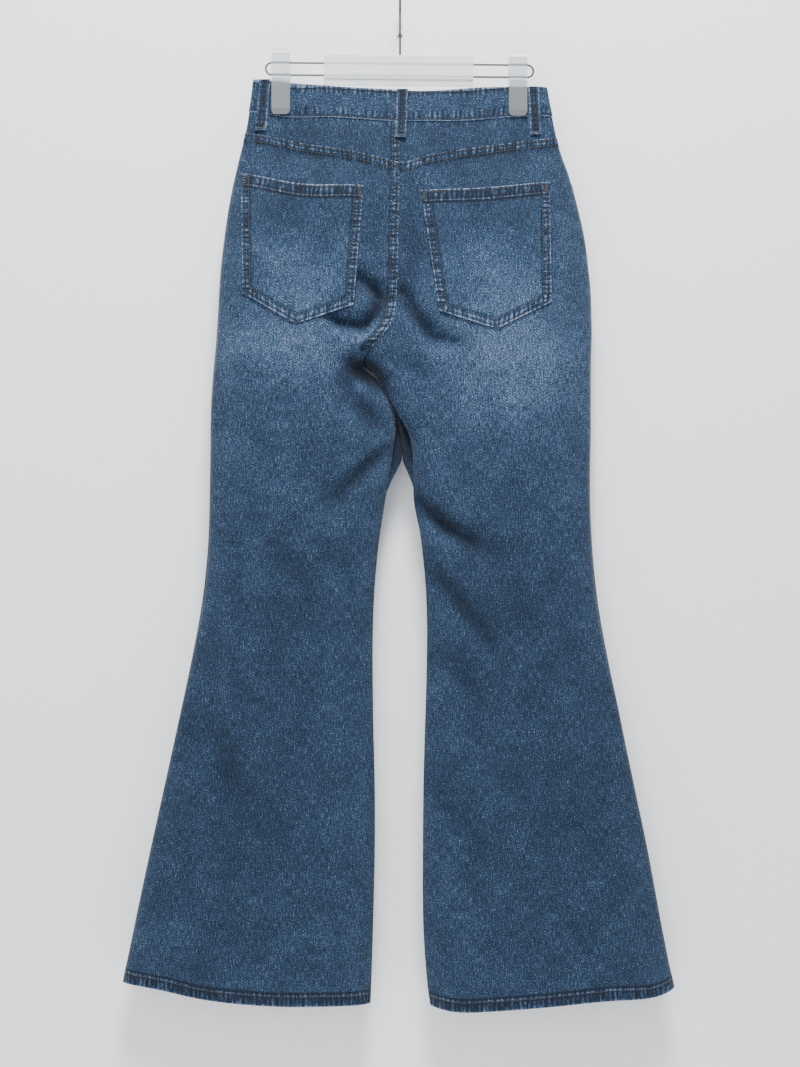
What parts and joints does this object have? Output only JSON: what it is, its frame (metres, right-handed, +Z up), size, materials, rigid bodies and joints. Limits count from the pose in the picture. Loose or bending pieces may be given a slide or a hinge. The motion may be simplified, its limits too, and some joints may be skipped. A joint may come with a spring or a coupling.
{
  "type": "bootcut jeans on a clip hanger",
  "caption": "Denim bootcut jeans with back yoke, patch pockets and belt loops, hung flat by the waistband from a clip hanger.",
  "frame": {"origin": "the inner crown of the hanger's hook, where it rests on a rail", "axes": "+Z up, along the hang; +Y out of the front of the jeans; +X to the wearer's right, which is the viewer's right when the back is seen"},
  "size_m": [0.6332, 0.0526, 1.1716],
  "materials": {
    "washed_denim": "matt washed cotton twill",
    "faded_denim": "matt cotton twill, faded by washing",
    "button_metal": "aged, slightly dull",
    "hanger_steel": "bright plated wire",
    "clear_plastic": "clear, moulded",
    "frosted_plastic": "frosted, moulded"
  },
  "bodies": {
    "root": {"back_panel_left": "washed_denim", "back_panel_right": "washed_denim", "yoke_left": "washed_denim", "yoke_right": "washed_denim", "front_panel_left": "washed_denim", "front_panel_right": "washed_denim", "pocket_bearer_left": "washed_denim", "pocket_bearer_right": "washed_denim", "fly_shield": "washed_denim", "waistband": "washed_denim", "waist_button": "button_metal", "back_pocket_left": "faded_denim", "back_pocket_right": "faded_denim", "belt_loop_back_left": "washed_denim", "belt_loop_back_centre": "washed_denim", "belt_loop_back_right": "washed_denim", "belt_loop_front_left": "washed_denim", "belt_loop_front_right": "washed_denim", "hanger_hook": "hanger_steel", "hanger_wire": "hanger_steel", "hanger_sleeve": "clear_plastic", "hanger_clip_left": "frosted_plastic", "hanger_clip_right": "frosted_plastic"}
  },
  "joints": []
}
